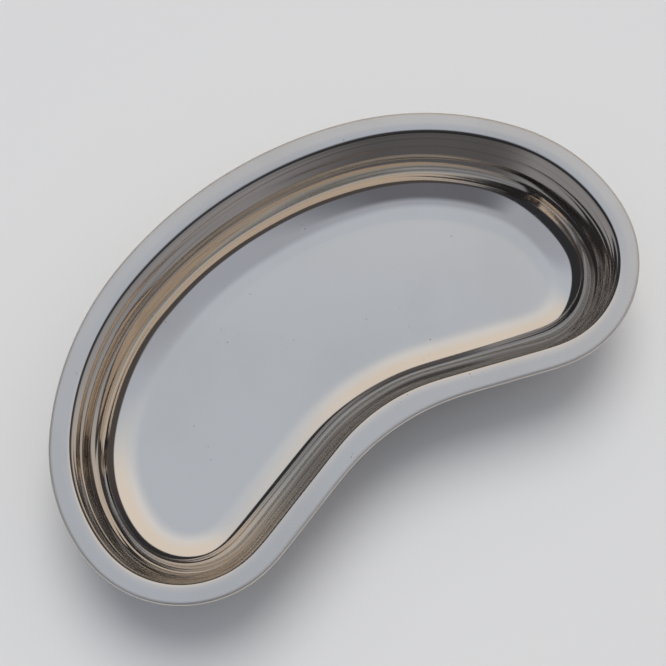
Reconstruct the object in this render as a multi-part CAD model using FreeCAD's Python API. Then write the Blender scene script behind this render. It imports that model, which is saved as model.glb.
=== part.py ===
"""Kidney-shaped instrument tray, pressed from one sheet of polished stainless steel.

The tray has three regions, and all of them are bent from the same sheet:
  bowl    a flat floor, a large fillet and a slightly sloping wall that ends in a bend at the mouth
  flange  a flat rim that stands out from the mouth, a little wider beside the notch
  curl    the rim's outer edge, rolled under so that no cut edge shows

Two plan outlines drive everything: the mouth, where the wall bends into the rim, and the rim's
outer edge. Each is mirror symmetric about the YZ plane. Going clockwise from the middle of the
convex back it is made of four arcs, a straight flank and half of the concave notch, all tangent.

Frame: millimetres, +Z up, the underside of the floor at Z = 0, and the origin under the middle of
the tray's bounding box. +X is the long way and the convex back faces +Y.
"""

import FreeCAD, Part
import math
import os

from FreeCAD import Vector

# ---- driving dimensions, mm and degrees ----
HEIGHT = 38.0  # from the floor's underside to the top of the rim
SHEET = 0.7  # thickness of the steel

ARC_ANGLES = (19.0, 34.0, 42.0, 103.0)  # back, shoulder, end and lobe arcs of both outlines
EDGE_RADII = (167.1, 119.2, 70.5, 46.3)  # the same four arcs at the rim's outer edge
EDGE_NOTCH_RADIUS = 94.8
MOUTH_RADII = (166.1, 105.6, 66.3, 37.5)  # and at the mouth
MOUTH_NOTCH_RADIUS = 75.3
BACK_RIM_WIDTH = 8.06  # from mouth to outer edge, at the middle of the back

WALL_SLOPE = 80.0  # the wall's angle to the floor
FLOOR_FILLET = 22.0  # between the wall and the floor, on the inner face
LEAD_IN_RADIUS = 14.0  # the rim's soft fall towards the mouth, on the upper face
LEAD_IN_ANGLE = 12.0
MOUTH_BEND_RADIUS = 1.3  # the tight bend from the rim into the wall, on the upper face

CURL_RADIUS = 1.3  # the rolled outer edge, on the outer face
CURL_RETURN = 2.0  # straight length that runs back under the rim


def sine(angle):
    return math.sin(math.radians(angle))


def cosine(angle):
    return math.cos(math.radians(angle))


def heading_vector(heading):
    return Vector(cosine(heading), sine(heading), 0)


# ---- plan outlines ----


class Segment:
    """One stretch of an outline walked clockwise, with the tray on the right of the walker."""

    def __init__(self, start, heading, turn, radius=None, length=None):
        self.start, self.heading, self.turn, self.radius = start, heading, turn, radius
        self.left = heading_vector(heading + 90)  # outwards
        if radius is None:
            self.end = start + heading_vector(heading) * length
        else:
            towards = 1 if turn > 0 else -1
            self.centre = start + self.left * (radius * towards)
            self.end = self.centre - heading_vector(heading + turn + 90) * (radius * towards)

    def point(self, share, offset):
        """A point on the segment, moved outwards by offset, from its start (0) to its end (1)."""
        if self.radius is None:
            return self.start + (self.end - self.start) * share + self.left * offset
        outward = heading_vector(self.heading + self.turn * share + 90)
        towards = 1 if self.turn > 0 else -1
        return self.centre + outward * (offset - self.radius * towards)


def flank_length(radii, notch_radius):
    """Length of the straight flank that brings the notch to the plane of symmetry."""
    notch_turn = sum(ARC_ANGLES) - 180
    heading, x = 0.0, 0.0
    for radius, angle in zip(radii, ARC_ANGLES):
        x += radius * (sine(heading + angle) - sine(heading))
        heading += angle
    x += notch_radius * sine(notch_turn)
    return x / cosine(notch_turn) - 2 * notch_radius * math.tan(math.radians(notch_turn))


def outline(radii, notch_radius, back_y):
    """The closed outline as segments, starting at the middle of the back."""
    flank = flank_length(radii, notch_radius)
    notch_turn = sum(ARC_ANGLES) - 180
    half = [(-angle, radius, None) for angle, radius in zip(ARC_ANGLES, radii)]
    half += [(0.0, None, flank), (notch_turn, notch_radius, None)]
    segments, point, heading = [], Vector(0, back_y, 0), 0.0
    for turn, radius, length in half + half[::-1]:
        segment = Segment(point, heading, turn, radius, length)
        segments.append(segment)
        point, heading = segment.end, heading + turn
    return segments


def outline_face(segments, offset):
    """The flat face inside an outline that is moved outwards by offset."""
    edges = []
    for segment in segments:
        points = [segment.point(share, offset) for share in (0, 0.5, 1)]
        if segment.radius is None:
            edges.append(Part.makeLine(points[0], points[2]))
        else:
            edges.append(Part.Arc(*points).toShape())
    return Part.Face(Part.Wire(edges))


def outline_span_y(segments):
    """Lowest and highest Y of an outline."""
    box = outline_face(segments, 0).BoundBox
    return box.YMin, box.YMax


# ---- sections of the sheet, drawn in a plane of (outward, up) ----


def sheet_section(start, heading, moves, side):
    """A closed section of bent sheet, as a face in the XZ plane with X outwards.

    The moves follow one face of the sheet from start. Each is (length, 0) for a straight run, or
    (radius, turn) for an arc that turns left when turn is positive. The other face lies SHEET
    away, on the left when side is 1 and on the right when it is -1.
    """

    def place(point, normal, distance):
        return Vector(point[0] + normal[0] * distance, 0, point[1] + normal[1] * distance)

    near, far, point = [], [], start
    for size, turn in moves:
        left = (-sine(heading), cosine(heading))
        towards = 1 if turn > 0 else -1
        if turn:
            centre = (point[0] + left[0] * size * towards, point[1] + left[1] * size * towards)
        for edges, gap in ((near, 0), (far, SHEET * side)):
            if turn:
                normals = [
                    (-sine(heading + turn * share), cosine(heading + turn * share))
                    for share in (0, 0.5, 1)
                ]
                points = [place(centre, normal, gap - size * towards) for normal in normals]
                edges.append(Part.Arc(*points).toShape())
            else:
                ahead = (point[0] + cosine(heading) * size, point[1] + sine(heading) * size)
                edges.append(Part.makeLine(place(point, left, gap), place(ahead, left, gap)))
        if turn:
            after = (-sine(heading + turn), cosine(heading + turn))
            point = (
                centre[0] - after[0] * size * towards,
                centre[1] - after[1] * size * towards,
            )
            heading += turn
        else:
            point = ahead
    first_cap = Part.makeLine(near[0].firstVertex().Point, far[0].firstVertex().Point)
    last_cap = Part.makeLine(near[-1].lastVertex().Point, far[-1].lastVertex().Point)
    return Part.Face(Part.Wire(Part.__sortEdges__([first_cap, *near, last_cap, *far])))


def sweep(section, segments):
    """The section carried round an outline: turned about each arc's centre, pushed along each flank."""
    solids = []
    for segment in segments:
        turn = FreeCAD.Rotation(Vector(0, 0, 1), segment.heading + 90)
        placed = section.transformGeometry(FreeCAD.Placement(segment.start, turn).toMatrix())
        if segment.radius is None:
            solids.append(placed.extrude(segment.end - segment.start))
        else:
            solids.append(placed.revolve(segment.centre, Vector(0, 0, 1), segment.turn))
    return solids


# ---- the tray ----


def bowl_moves():
    """The upper face from the flat of the rim to the flat of the floor, and the floor's inset."""
    bend = WALL_SLOPE - LEAD_IN_ANGLE
    drop = LEAD_IN_RADIUS * (1 - cosine(LEAD_IN_ANGLE))
    drop += MOUTH_BEND_RADIUS * (cosine(LEAD_IN_ANGLE) - cosine(WALL_SLOPE))
    drop += FLOOR_FILLET * (1 - cosine(WALL_SLOPE))
    wall = (HEIGHT - SHEET - drop) / sine(WALL_SLOPE)
    inset = MOUTH_BEND_RADIUS * (sine(WALL_SLOPE) - sine(LEAD_IN_ANGLE))
    inset += wall * cosine(WALL_SLOPE) + FLOOR_FILLET * sine(WALL_SLOPE)
    moves = [
        (LEAD_IN_RADIUS, LEAD_IN_ANGLE),
        (MOUTH_BEND_RADIUS, bend),
        (wall, 0),
        (FLOOR_FILLET, -WALL_SLOPE),
    ]
    return moves, inset


def tray_shell():
    edge = outline(EDGE_RADII, EDGE_NOTCH_RADIUS, 0)
    low, high = outline_span_y(edge)
    back_y = (high - low) / 2
    edge = outline(EDGE_RADII, EDGE_NOTCH_RADIUS, back_y)
    mouth = outline(MOUTH_RADII, MOUTH_NOTCH_RADIUS, back_y - BACK_RIM_WIDTH)

    lead_in = LEAD_IN_RADIUS * sine(LEAD_IN_ANGLE)
    moves, floor_inset = bowl_moves()
    bowl = sweep(sheet_section((lead_in, HEIGHT), 180, moves, side=1), mouth)

    curl_moves = [(CURL_RADIUS, -180), (CURL_RETURN, 0)]
    curl = sweep(sheet_section((-CURL_RADIUS, HEIGHT), 0, curl_moves, side=-1), edge)

    rim_face = outline_face(edge, -CURL_RADIUS).cut(outline_face(mouth, lead_in))
    rim_face.translate(Vector(0, 0, HEIGHT - SHEET))
    flange = rim_face.extrude(Vector(0, 0, SHEET))

    floor = outline_face(mouth, -floor_inset).extrude(Vector(0, 0, SHEET))
    shell = floor.multiFuse([*bowl, flange, *curl]).removeSplitter()
    print("floor inset", round(floor_inset, 3), "back y", round(back_y, 3))
    return shell


def main():
    os.makedirs("parts", exist_ok=True)
    shell = tray_shell()
    box = shell.BoundBox
    print("size", round(box.XLength, 2), round(box.YLength, 2), round(box.ZLength, 2))
    print("solids", len(shell.Solids), "valid", shell.isValid(), "volume", round(shell.Volume, 1))
    shell.exportStep("parts/tray_shell.step")


main()
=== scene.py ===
import math

import bmesh
import bpy
import numpy as np
from mathutils import Matrix, Vector


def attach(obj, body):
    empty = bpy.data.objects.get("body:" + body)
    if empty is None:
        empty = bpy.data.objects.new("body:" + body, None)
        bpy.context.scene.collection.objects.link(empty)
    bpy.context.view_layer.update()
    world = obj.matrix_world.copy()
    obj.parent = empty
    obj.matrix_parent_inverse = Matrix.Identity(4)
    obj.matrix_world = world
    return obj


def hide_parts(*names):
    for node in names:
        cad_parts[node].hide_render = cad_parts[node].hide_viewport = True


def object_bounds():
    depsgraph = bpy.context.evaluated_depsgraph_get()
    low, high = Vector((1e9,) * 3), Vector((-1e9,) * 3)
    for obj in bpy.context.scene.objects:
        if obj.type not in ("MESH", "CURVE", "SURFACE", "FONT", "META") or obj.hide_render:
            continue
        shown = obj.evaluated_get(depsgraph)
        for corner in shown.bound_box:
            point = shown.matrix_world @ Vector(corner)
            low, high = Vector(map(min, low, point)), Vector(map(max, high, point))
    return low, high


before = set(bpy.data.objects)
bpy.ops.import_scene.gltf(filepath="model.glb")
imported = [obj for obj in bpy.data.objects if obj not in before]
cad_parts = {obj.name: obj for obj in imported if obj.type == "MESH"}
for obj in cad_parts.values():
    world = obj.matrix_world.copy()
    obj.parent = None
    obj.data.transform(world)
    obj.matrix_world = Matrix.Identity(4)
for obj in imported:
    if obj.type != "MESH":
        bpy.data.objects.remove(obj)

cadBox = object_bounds()
mm = 0.001
print("frame loaded:", sorted(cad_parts))

# The tray's shape, in millimetres and degrees.
trayShape = {
    "height": 38.0,
    "sheet": 0.7,
    "arcAngles": (19.0, 34.0, 42.0, 103.0),  # back, shoulder, end and lobe, of half an outline
    "edgeRadii": (167.1, 119.2, 70.5, 46.3),  # the same four arcs at the rim's outer edge
    "edgeNotchRadius": 94.8,
    "mouthRadii": (166.1, 105.6, 66.3, 37.5),  # and where the wall bends into the rim
    "mouthNotchRadius": 75.3,
    "backRimWidth": 8.06,
    "easing": 26.0,  # length over which one radius turns into the next
    "wallSlope": 80.0,
    "floorFillet": 22.0,
    "leadInRadius": 14.0,  # the rim's soft fall towards the mouth
    "leadInAngle": 12.0,
    "mouthBend": 1.3,
    "curlRadius": 1.3,
    "curlReturn": 2.0,
    # Hand-finished sheet is never quite true. Each wave has how many fit round the tray, how far
    # it leans as it climbs the wall, its size and where it starts.
    "wallWaves": (
        (1, 24.0, 0.085, 0.6), (2, -37.0, 0.035, 2.2), (3, 58.0, 0.010, 1.1),
        (7, 2.1, 0.05, 0.4), (13, -3.2, 0.03, 2.0), (22, 4.5, 0.010, 4.1), (37, -6.0, 0.0015, 1.3),
    ),
    "rimWaves": ((11, 0.0, 0.012, 1.0), (29, 1.5, 0.006, 3.1), (47, -1.0, 0.003, 0.2)),
    "rimWaveReach": 4.0,  # how far below the rim they fade out
    # Faint rings left by the press, where the wall steps in or out: height, half width, push, how
    # far they wander and how dark the painted reflection along each ring is.
    "pressRings": (
        (35.2, 0.35, -0.050, 0.3, 0.30), (31.5, 0.35, 0.060, 0.8, 0.40), (27.0, 0.35, -0.045, 1.1, 0.30),
        (20.3, 0.45, 0.045, 0.8, 0.75), (17.6, 0.50, 0.040, 0.7, 0.80), (11.0, 0.45, 0.045, 0.7, 0.30),
    ),
    # The floor's waves have how many fit in a metre along x and along y instead.
    "floorWaves": ((9, 4, 0.03, 0.0), (-6, 14, 0.02, 2.2), (21, 9, 0.006, 4.0)),
    "samplesRound": 512,
    "fineSteps": 32,  # steps of the outline's running sums between two samples
    # Samples of the lead-in, mouth bend, wall and both parts of the fillet.
    "bowlSamples": (8, 10, 50, 22, 18),
    "undersideSamples": (3, 6, 4, 4, 6),
    "curlSamples": (12, 2),  # the rolled edge's turn and straight return, on its outer face
    "hiddenCurlSamples": (6, 1),  # and on its inner face
    "lipSamples": 6,
    "ceilingSamples": 4,  # across the rim's underside
    "filletSplit": 30.0,  # how far the finer part of the fillet turns
    "rimSamples": 8,
    "floorSamples": 10,
    "middleLineEnd": 0.154,  # share of the way round where the floor's middle line ends
}


def flankLength(radii, notchRadius):
    # Length of the straight flank that brings the notch's middle to x = 0.
    turns = np.radians(np.concatenate([[0.0], np.cumsum(trayShape["arcAngles"])]))
    notchTurn = turns[-1] - math.pi
    reach = np.sum(np.array(radii) * np.diff(np.sin(turns))) + notchRadius * math.sin(notchTurn)
    return reach / math.cos(notchTurn) - 2 * notchRadius * math.tan(notchTurn)


def stretchLengths(radii, notchRadius):
    # Lengths of the stretches of a whole outline, clockwise from the middle of the back.
    angles = trayShape["arcAngles"]
    arcs = [radius * math.radians(angle) for radius, angle in zip(radii, angles)]
    notch = notchRadius * math.radians(sum(angles) - 180)
    half = arcs + [flankLength(radii, notchRadius), notch]
    return np.array(half + half[::-1])


def easedRound(values, share):
    # Running mean round a closed loop, weighted by a raised cosine that is share of the loop wide.
    steps = len(values)
    away = np.minimum(np.arange(steps), steps - np.arange(steps)) / steps
    weights = np.where(away < share / 2, 1 + np.cos(2 * math.pi * away / share), 0)
    spectrum = np.fft.rfft(values) * np.fft.rfft(weights / weights.sum())
    return np.fft.irfft(spectrum, steps)


def runningSum(steps):
    return np.concatenate([[0.0], np.cumsum(steps)])


def outlines():
    # The curvature of the rim's outer edge is a step function of the distance round it, eased over
    # a short length. Its running sum is the heading, and the running sum of the heading's
    # direction is the edge. The mouth has the same headings, with steps of its own length.
    s = trayShape
    edgeLengths = stretchLengths(s["edgeRadii"], s["edgeNotchRadius"])
    mouthLengths = stretchLengths(s["mouthRadii"], s["mouthNotchRadius"])
    half = [-math.radians(angle) for angle in s["arcAngles"]]
    half += [0.0, math.radians(sum(s["arcAngles"]) - 180)]
    turns = np.array(half + half[::-1])

    count = s["samplesRound"] * s["fineSteps"]
    around = edgeLengths.sum()
    step = around / count
    stretch = np.searchsorted(np.cumsum(edgeLengths), (np.arange(count) + 0.5) * step)
    stretch = np.minimum(stretch, len(turns) - 1)
    share = s["easing"] / around
    curvature = easedRound((turns / edgeLengths)[stretch], share)
    pace = easedRound((mouthLengths / edgeLengths)[stretch], share)
    heading = runningSum(curvature * step)
    heading *= -2 * math.pi / heading[-1]  # exactly one turn
    middle = (heading[:-1] + heading[1:]) / 2
    direction = np.stack([np.cos(middle), np.sin(middle)])

    def line(paces):
        path = np.stack([runningSum(row) for row in direction * step * paces])
        return path - path[:, -1:] * np.linspace(0, 1, count + 1)  # closed, its error spread evenly

    edge, mouth = line(1.0), line(pace)
    mouth[1] -= s["backRimWidth"]
    low, high = edge.min(1), edge.max(1)
    cadLow, cadHigh = np.array(cadBox)[:, :2] / mm
    fit = 0.9998 * (cadHigh - cadLow) / (high - low)  # a hair inside the CAD's outline
    shift = (cadLow + cadHigh) / 2 - (low + high) / 2 * fit
    outward = np.stack([-np.sin(heading), np.cos(heading)])
    keep = slice(0, count, s["fineSteps"])
    edge, mouth = (path[:, keep] * fit[:, None] + shift[:, None] for path in (edge, mouth))
    return edge, mouth, outward[:, keep], around


def walk(start, heading, rows):
    # Follows straight runs and arcs in the plane of (outward, up). A row is (length, 0, samples) or
    # (radius, turn, samples), with a left turn positive. An arc's points lie round a centre that is
    # its radius to one side. Gives the points and the left-hand normals beside them.
    point, angle = np.array(start, float), math.radians(heading)
    points, angles = [point[None]], [np.array([angle])]
    for size, turn, samples in rows:
        share = np.linspace(0, 1, samples + 1)[1:]
        along = angle + share * math.radians(turn)
        if turn:
            side = math.copysign(size, turn)
            centre = point + np.array([-math.sin(angle), math.cos(angle)]) * side
            made = centre - np.stack([-np.sin(along), np.cos(along)], 1) * side
        else:
            made = point + np.outer(share * size, [math.cos(angle), math.sin(angle)])
        points.append(made)
        angles.append(along)
        point, angle = made[-1], along[-1]
    angles = np.concatenate(angles)
    return np.concatenate(points), np.stack([-np.sin(angles), np.cos(angles)], 1)


def bowlPath(samples):
    # The bowl's upper face, from the flat of the rim to the flat of the floor.
    s = trayShape
    lead, slope = math.radians(s["leadInAngle"]), math.radians(s["wallSlope"])
    drop = s["leadInRadius"] * (1 - math.cos(lead))
    drop += s["mouthBend"] * (math.cos(lead) - math.cos(slope))
    drop += s["floorFillet"] * (1 - math.cos(slope))
    wall = (s["height"] - s["sheet"] - drop) / math.sin(slope)
    rows = [
        (s["leadInRadius"], s["leadInAngle"], samples[0]),
        (s["mouthBend"], s["wallSlope"] - s["leadInAngle"], samples[1]),
        (wall, 0, samples[2]),
        (s["floorFillet"], -s["filletSplit"], samples[3]),
        (s["floorFillet"], s["filletSplit"] - s["wallSlope"], samples[4]),
    ]
    return walk((s["leadInRadius"] * math.sin(lead), s["height"]), 180, rows)


def curlPath(samples):
    # The rolled edge's outer face, from the top of the rim to its lip.
    s = trayShape
    rows = [(s["curlRadius"], -180, samples[0]), (s["curlReturn"], 0, samples[1])]
    return walk((-s["curlRadius"], s["height"]), 0, rows)


def strip(points, normals=(0, 1), blend=0.0, inward=0.0):
    # Samples of the section: place and normal as (outward, up), blend from the mouth (0) to the
    # edge (1), and how far in from the floor's border (0) to its middle line (1).
    count = len(points)
    columns = [points, np.broadcast_to(normals, (count, 2))]
    columns += [np.broadcast_to(value, count)[:, None] for value in (blend, inward)]
    return np.concatenate(columns, 1)


def between(first, last, samples):
    share = np.linspace(0, 1, samples + 2)[1:-1]
    return np.outer(1 - share, first) + np.outer(share, last), share


def section():
    # The closed section of the sheet: out over the floor, up the wall, over the rim, round the
    # curl and its lip, and back along the underside.
    s = trayShape
    upper, below = bowlPath(s["bowlSamples"])
    under, underBelow = bowlPath(s["undersideSamples"])
    under = under + underBelow * s["sheet"]
    curl, curlIn = curlPath(s["curlSamples"])
    lip, lipIn = walk(curl[-1], 180, [(s["sheet"] / 2, -180, s["lipSamples"])])
    hidden, hiddenIn = curlPath(s["hiddenCurlSamples"])
    hidden = hidden - hiddenIn * s["sheet"]
    flange, flangeShare = between(upper[0], curl[0], s["rimSamples"])
    ceiling, ceilingShare = between(hidden[0], under[0], s["ceilingSamples"])
    inward = np.linspace(1, 0, s["floorSamples"] + 1)[:-1]
    underInward = np.linspace(0, 1, s["floorSamples"] - 1)[1:]
    return np.concatenate([
        strip(np.tile(upper[-1], (len(inward), 1)), inward=inward),
        strip(upper[::-1], -below[::-1]),
        strip(flange, blend=flangeShare),
        strip(curl, curlIn, blend=1.0),
        strip(lip[1:-1], lipIn[1:-1], blend=1.0),
        strip(hidden[::-1], hiddenIn[::-1], blend=1.0),
        strip(ceiling, blend=1 - ceilingShare),
        strip(under, -underBelow),
        strip(np.tile(under[-1], (len(underInward), 1)), inward=underInward),
    ])


def waves(table, across, along):
    # Sum of sines of a phase that runs along one way and leans with the other.
    return sum(size * np.sin(many * along + lean * across + start) for many, lean, size, start in table)


def ramp(values, low, high):
    # 0 below low, 1 above high, and straight between them.
    return np.clip((values - low) / (high - low), 0, 1)


def shellGrid(table):
    # Each sample of the section is carried round the tray, where it stands outward from a blend of
    # the mouth and the edge. On the floor it runs inwards to a middle line, on which every point
    # of the back meets its partner on the notch side.
    s = trayShape
    out, up, normalOut, normalUp, blend, inward = table.T[:, :, None]
    edge, mouth, outward, around = outlines()
    count = edge.shape[1]
    turn = np.arange(count)[None] * 2 * math.pi / count
    climb = ramp(up, 0, s["height"])
    steep = (blend == 0) * (normalUp < 0.98)  # all but the flat floor and the rim
    push = waves(s["wallWaves"], climb, turn) * np.sin(math.pi * climb) * steep
    inBowl = steep * (normalUp > 0)
    rings = np.zeros(push.shape)
    for height, halfWidth, depth, wander, darkness in s["pressRings"]:
        # A quick step with a slow return on both sides, as the difference of two S-curves. Its
        # painted dark line, a reflection painted along the ring, is a bell curve whose strength comes
        # and goes round the tray.
        away = (up - height - wander * np.sin(turn * 2 + height)) / halfWidth
        push = push + depth * (np.tanh(away) - np.tanh(away / 6)) * inBowl
        strength = darkness * (0.7 + 0.3 * np.sin(turn * 3 + height * 2))
        rings = rings + strength * np.exp(-away ** 2) * inBowl
    rimShare = ramp(up, s["height"] - s["rimWaveReach"], s["height"]) ** 3
    out = out + push * normalOut
    up = up + push * normalUp
    up = up - (waves(s["rimWaves"], blend, turn) + sum(row[2] for row in s["rimWaves"])) * rimShare

    flat = mouth[None] * (1 - blend[:, None]) + edge[None] * blend[:, None]
    flat = flat + outward[None] * out[:, None]
    index = np.arange(count)
    half = index % (count // 2)
    end = round(count * s["middleLineEnd"])
    held = np.where(half < count // 4, np.minimum(half, end), np.maximum(half, count // 2 - end))
    partner = (count // 2 - index) % count
    middleLine = ((flat + flat[:, :, partner]) / 2)[:, :, index - half + held]
    flat = flat * (1 - inward[:, None]) + middleLine * inward[:, None]
    x, y = flat[:, 0], flat[:, 1]
    metre = 2 * math.pi * mm
    lift = waves(s["floorWaves"], y * metre, x * metre) + sum(row[2] for row in s["floorWaves"])
    up = up + lift * inward ** 2 * (3 - 2 * inward)
    return np.stack([x, y, np.broadcast_to(up, x.shape)], 2), rings, around


def gridFaces(rows, columns):
    # Quads between the samples of a grid that is closed round its columns.
    row = np.arange(rows - 1)[:, None] * columns
    column = np.arange(columns)[None]
    after = (column + 1) % columns
    corners = (row + column, row + after, row + columns + after, row + columns + column)
    return np.stack(corners, 2).reshape(-1, 4)


def addAttribute(mesh, name, values):
    # Values at each vertex, as numbers or as vectors.
    vector = values.ndim == 3
    attribute = mesh.attributes.new(name, "FLOAT_VECTOR" if vector else "FLOAT", "POINT")
    flat = np.ascontiguousarray(values, np.float32).ravel()
    attribute.data.foreach_set("vector" if vector else "value", flat)


# Where each finish and the painted mouth shade lie, in millimetres below the rim or above the floor.
finishZones = {
    "edgeReach": 3.0,  # below the rim, where the rolled edge loses the rim's finish
    "bendReach": (0.8, 0.2),  # below the rim, where the mouth's bend loses it
    "wallFrom": (13.0, 18.0),  # above the floor, where the wall's grain begins
    "mouthLine": 1.2,  # below the rim, the middle of the dark line of painted shade in the mouth's crease
    "mouthLineHalf": 0.8,
    "mouthLineSoft": 0.25,
}


def makeTray():
    table = section()
    grid, rings, around = shellGrid(table)
    rows, columns = grid.shape[:2]
    mesh = bpy.data.meshes.new("kidney_tray")
    mesh.from_pydata((grid * mm).reshape(-1, 3), [], gridFaces(rows, columns))

    # What the finish follows: the distance round the tray and across the sheet, in metres, and how
    # far a point is on the rim, the wall, the outside, the mouth's line of painted shade, the edge or
    # a ring's painted dark reflection.
    out, up, blend = table[:, 0], table[:, 1], table[:, 4]
    circle = around / (2 * math.pi)
    turn = np.linspace(0, 2 * math.pi, columns, endpoint=False)[None]
    across = np.concatenate([[0.0], np.cumsum(np.hypot(np.diff(out), np.diff(up)))])[:, None]
    along = np.broadcast_arrays(circle * np.cos(turn), circle * np.sin(turn), across)
    addAttribute(mesh, "alongSheet", np.stack(along, 2) * mm)
    zones = finishZones
    below = trayShape["height"] - up
    outside = np.arange(rows) > np.argmax(np.where(blend == 1, below, 0))
    onEdge = ramp(-below, -zones["edgeReach"], 0) ** 2
    bendLow, bendHigh = zones["bendReach"]
    onRim = np.where(blend == 0, ramp(-below, -bendLow, -bendHigh), onEdge)
    onWall = ramp(up, *zones["wallFrom"]) * (1 - onRim)
    fromLine = zones["mouthLineHalf"] - np.abs(below - zones["mouthLine"])
    # Painted shade: a dark band along the crease just below the mouth's bend.
    paintedMouthShade = ramp(fromLine, 0, zones["mouthLineSoft"]) * ~outside * (blend == 0)
    atEdge = (blend == 1) * onRim
    masks = (("onRim", onRim), ("onWall", onWall), ("outside", outside))
    masks += (("paintedMouthShade", paintedMouthShade), ("atEdge", atEdge))
    for name, values in masks:
        addAttribute(mesh, name, np.broadcast_to(values[:, None], (rows, columns)))
    addAttribute(mesh, "paintedRingReflection", rings)

    work = bmesh.new()
    work.from_mesh(mesh)
    bmesh.ops.remove_doubles(work, verts=work.verts, dist=1e-7)
    for face in work.faces:
        face.smooth = True
    loose = sum(not edge.is_manifold for edge in work.edges)
    work.to_mesh(mesh)
    work.free()
    print("tray:", len(mesh.polygons), "faces,", loose, "open edges")
    tray = bpy.data.objects.new("kidney_tray", mesh)
    bpy.context.scene.collection.objects.link(tray)
    return tray


class Socket:
    # One output of a node. A sum, difference, product or power of it adds the Math node that works
    # it out; a sum or difference does so whichever side of the sign it stands on.
    def __init__(self, tree, output=None):
        self.tree = tree
        self.output = output

    def node(self, kind, settings=None, inputs=None, output=0):
        # Adds any other node: its settings first, then its inputs, as values or as links.
        made = self.tree.nodes.new("ShaderNode" + kind)
        for name, value in (settings or {}).items():
            setattr(made, name, value)
        for name, value in (inputs or {}).items():
            if isinstance(value, Socket):
                self.tree.links.new(value.output, made.inputs[name])
            else:
                made.inputs[name].default_value = value
        return Socket(self.tree, made.outputs[output] if len(made.outputs) else None)

    def math(self, operation, *values):
        return self.node("Math", {"operation": operation}, dict(enumerate(values)))

    def eased(self, low, high):
        # 0 below low, 1 above high, and a smooth step between them.
        ends = {"Value": self, "From Min": low, "From Max": high}
        return self.node("MapRange", {"interpolation_type": "SMOOTHSTEP"}, ends)

    def mixed(self, first, second):
        # From the first colour to the second as this socket goes from 0 to 1.
        return self.node("Mix", {"data_type": "RGBA"}, {0: self, 6: first, 7: second}, 2)

    def __add__(self, other):
        return self.math("ADD", self, other)

    def __radd__(self, other):
        return self.math("ADD", other, self)

    def __sub__(self, other):
        return self.math("SUBTRACT", self, other)

    def __rsub__(self, other):
        return self.math("SUBTRACT", other, self)

    def __mul__(self, other):
        return self.math("MULTIPLY", self, other)

    def __pow__(self, other):
        return self.math("POWER", self, other)


steel = {
    "colour": (0.67, 0.635, 0.59, 1),
    "wallColour": (0.69, 0.625, 0.56, 1),  # slightly warmer where the sheet was drawn hardest
    "rimColour": (0.61, 0.58, 0.545, 1),  # a little duller from handling
    "speckColour": (0.30, 0.26, 0.22, 1),
    # painted shade and reflection: the dark line in the mouth's crease and along the press rings
    "paintedDarkLineColour": (0.04, 0.045, 0.055, 1),
    "bowlRoughness": 0.045,
    "rimRoughness": 0.16,
    "edgeRoughness": 0.22,  # added where the rolled edge is scuffed
    "outsideRoughness": 0.10,
    "grainStretch": (34, 34, 1000),  # the wall's polishing marks are long and thin
    "grainDepth": 0.0000015,  # and this deep, in metres
    "mottleScale": 110.0,  # the rim's soft unevenness
    "mottleDepth": 0.000008,
    "smearScale": 17.0,
    "hairlineStretch": (16, 1500, 16),
    "pitScale": 330.0,
}


def makeSteel():
    material = bpy.data.materials.new("polished_steel")
    material.use_nodes = True
    tree = material.node_tree
    tree.nodes.clear()
    start = Socket(tree)
    place = start.node("TexCoord", output="Object")

    def attribute(name, output="Fac"):
        return start.node("Attribute", {"attribute_name": name}, output=output)

    def noise(vector, scale, detail):
        return start.node("TexNoise", {}, {"Vector": vector, "Scale": scale, "Detail": detail})

    def stretched(vector, stretch):
        return start.node("VectorMath", {"operation": "MULTIPLY"}, {0: vector, 1: stretch}, "Vector")

    def hairlines(angle):
        # Long thin marks, all lying one way across the tray.
        settings = {"rotation_type": "Z_AXIS"}
        turned = start.node("VectorRotate", settings, {"Vector": place, "Angle": angle}, "Vector")
        return noise(stretched(turned, steel["hairlineStretch"]), 1.0, 1.0).eased(0.69, 0.76)

    onRim = attribute("onRim")
    onWall = attribute("onWall")
    outside = attribute("outside")
    grain = noise(stretched(attribute("alongSheet", "Vector"), steel["grainStretch"]), 1.0, 4.0)
    mottle = noise(place, steel["mottleScale"], 3.0)
    smears = noise(place, steel["smearScale"], 4.0).eased(0.42, 0.72)
    scratches = hairlines(0.5) + hairlines(1.45) * 0.7 + hairlines(2.5) * 0.5
    pits = start.node("TexVoronoi", {}, {"Vector": place, "Scale": steel["pitScale"]}, "Distance")
    specks = (0.13 - pits).eased(0.0, 0.06) * noise(place, 75.0, 2.0).eased(0.60, 0.66)

    roughness = steel["bowlRoughness"] + smears * 0.035 + grain * onWall * 0.04
    roughness = roughness + scratches * 0.05 * (1 - onWall) * (1 - onRim * 0.8)
    roughness = roughness + onRim * (steel["rimRoughness"] + mottle * 0.08)
    roughness = roughness + attribute("atEdge") * steel["edgeRoughness"]
    roughness = roughness + outside * steel["outsideRoughness"]
    colour = onWall.mixed(steel["colour"], steel["wallColour"])
    colour = onRim.mixed(colour, steel["rimColour"])
    colour = (specks * 0.7 + smears * 0.09).mixed(colour, steel["speckColour"])
    # Painted shade: a dark line in the mouth's crease.
    colour = (attribute("paintedMouthShade") * 0.9).mixed(colour, steel["paintedDarkLineColour"])
    # Painted reflection: dark lines along the press rings.
    colour = attribute("paintedRingReflection").mixed(colour, steel["paintedDarkLineColour"])
    height = grain * onWall * steel["grainDepth"] + mottle * onRim * steel["mottleDepth"]
    normal = start.node("Bump", {}, {"Height": height, "Strength": 1.0, "Distance": 1.0}, "Normal")
    surface = start.node("BsdfPrincipled", {}, {
        "Base Color": colour, "Metallic": 1.0, "Roughness": roughness, "Normal": normal,
    })
    start.node("OutputMaterial", {}, {"Surface": surface})
    print("steel:", len(tree.nodes), "nodes")
    return material


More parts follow.
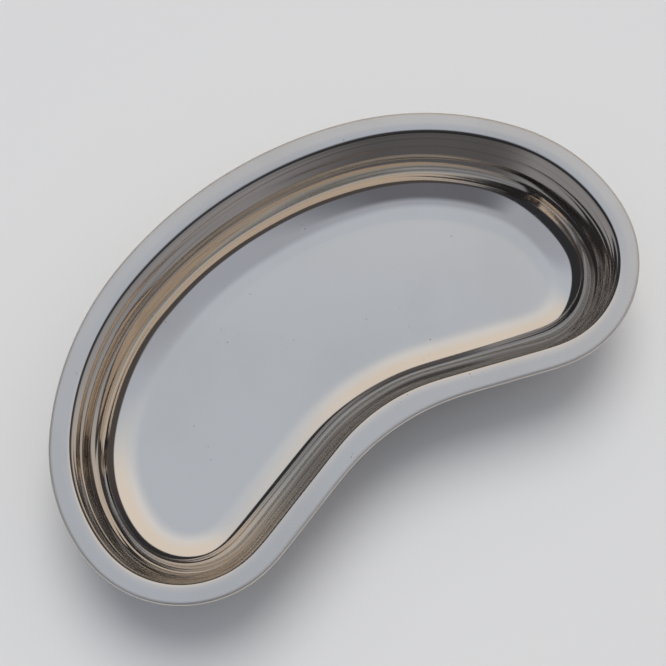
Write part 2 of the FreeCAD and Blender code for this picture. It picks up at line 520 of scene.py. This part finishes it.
studio = {
    "overhead": (0.62, 0.685, 0.79, 1),
    "bright": (0.90, 0.90, 0.92, 1),  # high on the warm side
    "warm": (0.95, 0.86, 0.775, 1),
    "cool": (0.46, 0.50, 0.59, 1),
    "lowDark": (0.035, 0.036, 0.042, 1),
    "lowBrown": (0.09, 0.08, 0.078, 1),
    "horizon": (0.70, 0.68, 0.66, 1),
    "horizonTop": 0.16,  # as the sine of its elevation
    "shade": (0.17, 0.18, 0.215, 1),  # a soft dim patch opposite the warm light
    "backdrop": (0.655, 0.66, 0.668, 1),
    # Where each lies, as the angle round from +X.
    "warmFrom": 38.0,
    "coolFrom": 228.0,
    "lowBrownFrom": 290.0,
    "shadeFrom": 240.0,
    # The low part of the room ends at a height, the sine of its elevation, that rises on two sides.
    "skirting": 0.36,
    "skirtingRises": ((290.0, 0.10), (150.0, 0.19)),
}


def heading(angle, down=90.0):
    turn, down = math.radians(angle), math.radians(down)
    return (math.cos(turn) * math.sin(down), math.sin(turn) * math.sin(down), math.cos(down))


def makeRoom():
    # The room that the steel mirrors. Its light is pale overhead, bright and then warm on one side,
    # and cooler on the other, round a dim patch. Its low part is dark, turns brown on one side and
    # has a pale strip at the horizon. The camera itself sees a plain backdrop.
    world = bpy.data.worlds.new("studio")
    bpy.context.scene.world = world
    world.use_nodes = True
    tree = world.node_tree
    tree.nodes.clear()
    start = Socket(tree)
    direction = start.node("TexCoord", output="Generated")

    def towards(axis):
        settings = {"operation": "DOT_PRODUCT"}
        return start.node("VectorMath", settings, {0: direction, 1: axis}, "Value")

    up = towards((0, 0, 1))
    level = (1.0001 - up * up) ** 0.5  # 0 straight up and 1 at the horizon

    def side(angle):
        return towards(heading(angle)) * level ** -1.0

    cool = level.eased(0.14, 0.36) * side(studio["coolFrom"]).eased(-0.35, 0.45)
    sky = cool.mixed(studio["overhead"], studio["cool"])
    lit = side(studio["warmFrom"]).eased(0.2, 0.9)
    sky = (lit * level.eased(0.22, 0.62)).mixed(sky, studio["bright"])
    sky = (lit * level.eased(0.54, 0.80)).mixed(sky, studio["warm"])
    shade = side(studio["shadeFrom"]).eased(0.76, 0.97) * level.eased(0.38, 0.56)
    sky = shade.mixed(sky, studio["shade"])
    low = side(studio["lowBrownFrom"]).eased(0.1, 0.7).mixed(studio["lowDark"], studio["lowBrown"])
    low = (studio["horizonTop"] - up).eased(0.0, 0.06).mixed(low, studio["horizon"])
    skirting = studio["skirting"]
    for angle, rise in studio["skirtingRises"]:
        skirting = skirting + side(angle).eased(0.2, 0.95) * rise
    room = (up - skirting).eased(-0.02, 0.02).mixed(low, sky)
    seen = start.node("LightPath", output="Is Camera Ray").mixed(room, studio["backdrop"])
    background = start.node("Background", {}, {"Color": seen})
    start.node("OutputWorld", {}, {"Surface": background})
    print("room:", len(tree.nodes), "nodes")


stage = {
    "floorSize": 400.0,  # metres, so that its end can't be told from the backdrop
    "floorDrop": 0.00005,  # a hair under the tray
    "floorColour": (0.72, 0.71, 0.69, 1),
    "floorRoughness": 0.9,
    "lampFrom": (55.0, 30.0),  # the angle round from +X, and down from straight above
    "lampSoftness": 38.0,  # how wide the light looks from the tray, in degrees
    "lampStrength": 1.6,
}


def makeStage():
    half = stage["floorSize"] / 2
    corners = np.array([(-half, -half), (half, -half), (half, half), (-half, half)])
    points = np.column_stack([corners, np.full(4, -stage["floorDrop"])])
    mesh = bpy.data.meshes.new("studio_floor")
    mesh.from_pydata(points, [], [(0, 1, 2, 3)])
    floor = bpy.data.objects.new("studio_floor", mesh)
    bpy.context.scene.collection.objects.link(floor)
    material = bpy.data.materials.new("floor_paper")
    material.use_nodes = True
    surface = material.node_tree.nodes["Principled BSDF"]
    surface.inputs["Base Color"].default_value = stage["floorColour"]
    surface.inputs["Roughness"].default_value = stage["floorRoughness"]
    mesh.materials.append(material)

    lamp = bpy.data.lights.new("soft_lamp", "SUN")
    lamp.angle = math.radians(stage["lampSoftness"])
    lamp.energy = stage["lampStrength"]
    holder = bpy.data.objects.new("soft_lamp", lamp)
    bpy.context.scene.collection.objects.link(holder)
    holder.rotation_euler = Vector(heading(*stage["lampFrom"])).to_track_quat("Z", "Y").to_euler()
    holder.visible_glossy = False
    print("floor and lamp set")


cameraPlace = {
    "azimuth": -33.76,
    "tilt": 15.07,  # from straight above
    "roll": -0.45,
    "target": (0.0, -8.26, 38.0),
    "distance": 540.2,
    "lens": 75.7,
}


def makeCamera():
    c = cameraPlace
    turn, tilt, roll = (math.radians(c[name]) for name in ("azimuth", "tilt", "roll"))
    back = Vector((math.sin(turn) * math.sin(tilt), -math.cos(turn) * math.sin(tilt), math.cos(tilt)))
    up = Vector((-math.sin(turn) * math.cos(tilt), math.cos(turn) * math.cos(tilt), math.sin(tilt)))
    right = up.cross(back)
    x = right * math.cos(roll) + up * math.sin(roll)
    y = up * math.cos(roll) - right * math.sin(roll)
    camera = bpy.data.objects.new("camera", bpy.data.cameras.new("camera"))
    bpy.context.scene.collection.objects.link(camera)
    camera.data.lens = c["lens"]
    camera.data.sensor_width = 36.0
    camera.data.clip_start = 0.01
    camera.location = (Vector(c["target"]) + back * c["distance"]) * mm
    camera.rotation_euler = Matrix((x, y, back)).transposed().to_euler()
    bpy.context.scene.camera = camera
    print("camera set, lens", c["lens"])


tray = makeTray()
tray.data.materials.append(makeSteel())
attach(tray, "root")
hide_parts("tray_shell")
makeRoom()
makeStage()
makeCamera()
bpy.context.scene.view_settings.view_transform = "Standard"
bpy.context.scene.cycles.glossy_bounces = 12  # light goes round the bowl many times
